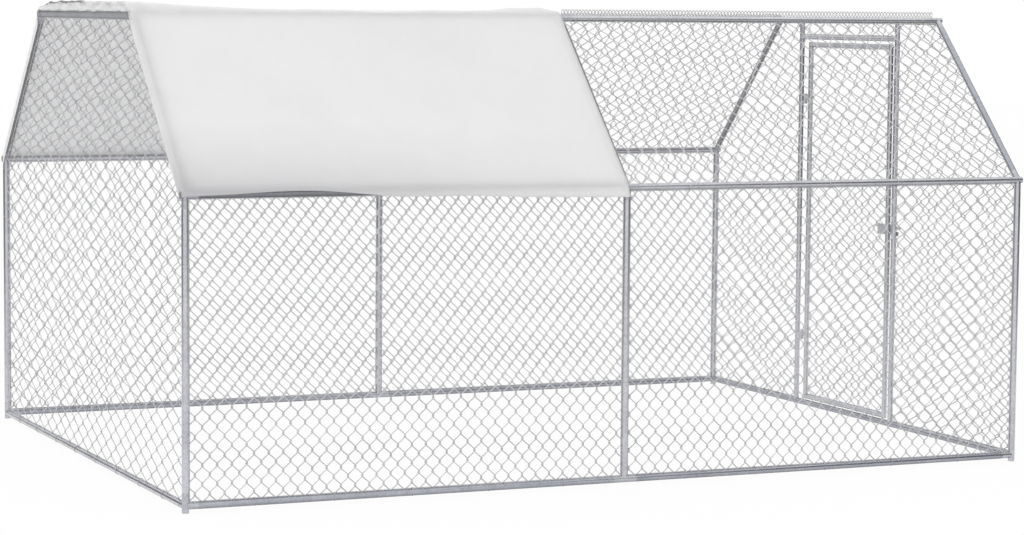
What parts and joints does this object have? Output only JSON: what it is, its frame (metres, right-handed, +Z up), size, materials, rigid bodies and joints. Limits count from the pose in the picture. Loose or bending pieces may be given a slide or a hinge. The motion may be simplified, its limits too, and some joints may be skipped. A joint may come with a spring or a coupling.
{
  "type": "walk-in chicken run",
  "caption": "Walk-in poultry run: galvanised tube frame with a trapezoid roof, diamond wire netting on every face, a white tarpaulin over one bay and a hinged, bolted end door.",
  "frame": {"origin": "middle of the run's footprint on the ground, midway between the four corner posts", "axes": "+X along the long side towards the door end, +Y from the front long side to the back, +Z up"},
  "size_m": [4.04, 3.017, 2.0765],
  "materials": {
    "tube": "hot-dip galvanised steel tube",
    "connector": "galvanised welded steel connector",
    "netting": "galvanised steel wire",
    "hardware": "zinc-plated steel",
    "tarpaulin": "matt white woven polyethylene"
  },
  "bodies": {
    "frame": {"post_front_left": "tube", "post_front_middle": "tube", "post_front_right": "tube", "post_back_left": "tube", "post_back_middle": "tube", "post_back_right": "tube", "sill_front_left": "tube", "sill_front_right": "tube", "sill_back_left": "tube", "sill_back_right": "tube", "sill_left_end": "tube", "sill_door_end": "tube", "eave_front_left": "tube", "eave_front_right": "tube", "eave_back_left": "tube", "eave_back_right": "tube", "rafter_front_left": "tube", "rafter_front_middle": "tube", "rafter_front_right": "tube", "rafter_back_left": "tube", "rafter_back_middle": "tube", "rafter_back_right": "tube", "crown_rail_front_left": "tube", "crown_rail_front_right": "tube", "crown_rail_back_left": "tube", "crown_rail_back_right": "tube", "crown_tie_left": "tube", "crown_tie_middle": "tube", "crown_tie_door_end": "tube", "foot_corners": "connector", "foot_middles": "connector", "eave_corners": "connector", "eave_middles": "connector", "crown_corners": "connector", "crown_middles": "connector", "door_post_hinge": "tube", "door_post_latch": "tube", "door_header": "tube", "hinge_pintles": "hardware", "latch_keeper": "hardware", "net_front_left": "netting", "net_front_right": "netting", "net_back_left": "netting", "net_back_right": "netting", "net_left_end": "netting", "net_door_end_front": "netting", "net_door_end_back": "netting", "net_over_door": "netting", "net_front_slope": "netting", "net_back_slope": "netting", "net_crown": "netting", "roof_tarp": "tarpaulin"},
    "door": {"leaf_hinge_stile": "tube", "leaf_latch_stile": "tube", "leaf_top_rail": "tube", "leaf_bottom_rail": "tube", "hinge_eyes": "hardware", "latch_guide": "hardware", "net_leaf": "netting"},
    "bolt": {"latch_bolt": "hardware"}
  },
  "joints": [
    {"name": "door_swing", "type": "hinge", "parent": "frame", "child": "door", "pos_m": [1.985, 0.497, 1], "axis": [0, 0, 1], "range_deg": [0, 120]},
    {"name": "bolt_slide", "type": "slide", "parent": "door", "child": "bolt", "axis": [0, -1, 0], "range_m": [0, 0.05]}
  ]
}
